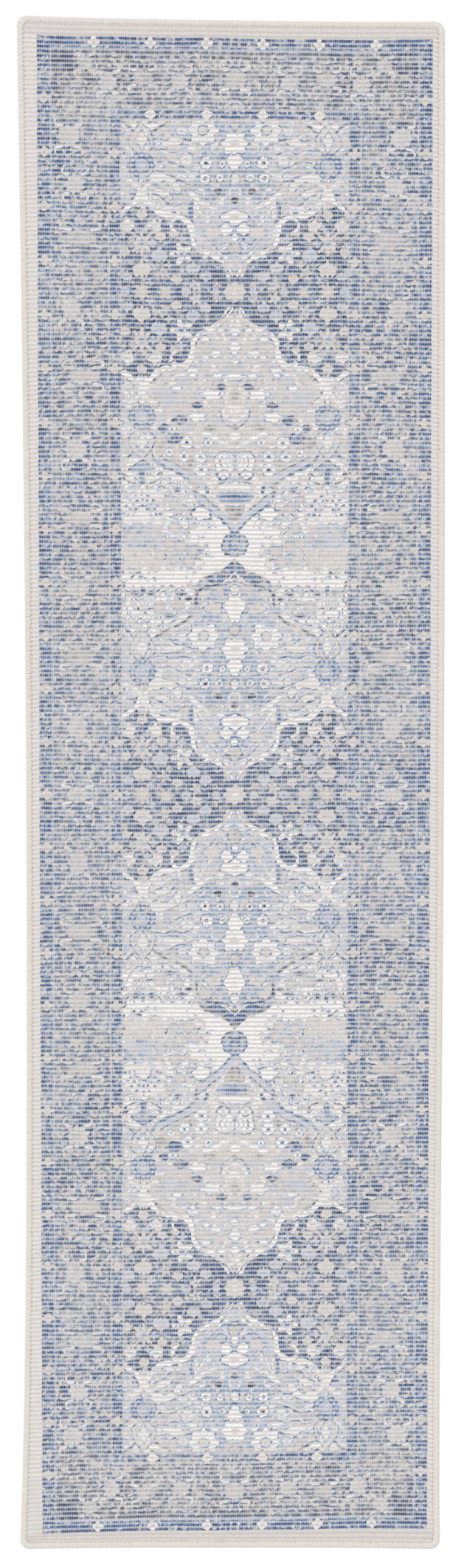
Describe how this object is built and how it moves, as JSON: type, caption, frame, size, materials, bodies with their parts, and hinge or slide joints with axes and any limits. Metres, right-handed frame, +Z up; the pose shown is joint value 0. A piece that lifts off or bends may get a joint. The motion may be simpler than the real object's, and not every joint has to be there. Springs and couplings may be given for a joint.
{
  "type": "runner rug",
  "caption": "Long narrow flat-woven runner rug with raised cross ribs, a faded blue floral border and medallion print, and a serged cream edge with rounded corners.",
  "frame": {"origin": "centre of the underside, on the floor plane the rug lies on", "axes": "+X across the rug, +Y along its length towards the head end, +Z up out of the printed face"},
  "size_m": [0.67, 2.438, 0.0048],
  "materials": {
    "printed_yarn": "flat woven polyester rib yarn, off-white, printed in faded blues and greys",
    "plain_yarn": "flat woven rib yarn, unprinted off-white",
    "warp_yarn": "twisted cream cotton warp thread, matte",
    "ground_weave": "plain woven cream ground cloth, matte",
    "serging_yarn": "warm cream overlocked yarn, soft",
    "sewing_thread": "beige sewing thread",
    "latex_adhesive": "milky latex coat, matte",
    "backing_felt": "thin natural woven backing cloth, matte",
    "label_tape": "blank white woven label tape"
  },
  "bodies": {
    "root": {"backing_cloth": "backing_felt", "adhesive_layer": "latex_adhesive", "ground_cloth": "ground_weave", "warp_threads": "warp_yarn", "printed_ribs": "printed_yarn", "plain_end_ribs": "plain_yarn", "edge_serging": "serging_yarn", "serging_needle_thread": "sewing_thread", "serging_looper_thread": "sewing_thread", "care_label": "label_tape", "label_stitches": "sewing_thread"}
  },
  "joints": []
}
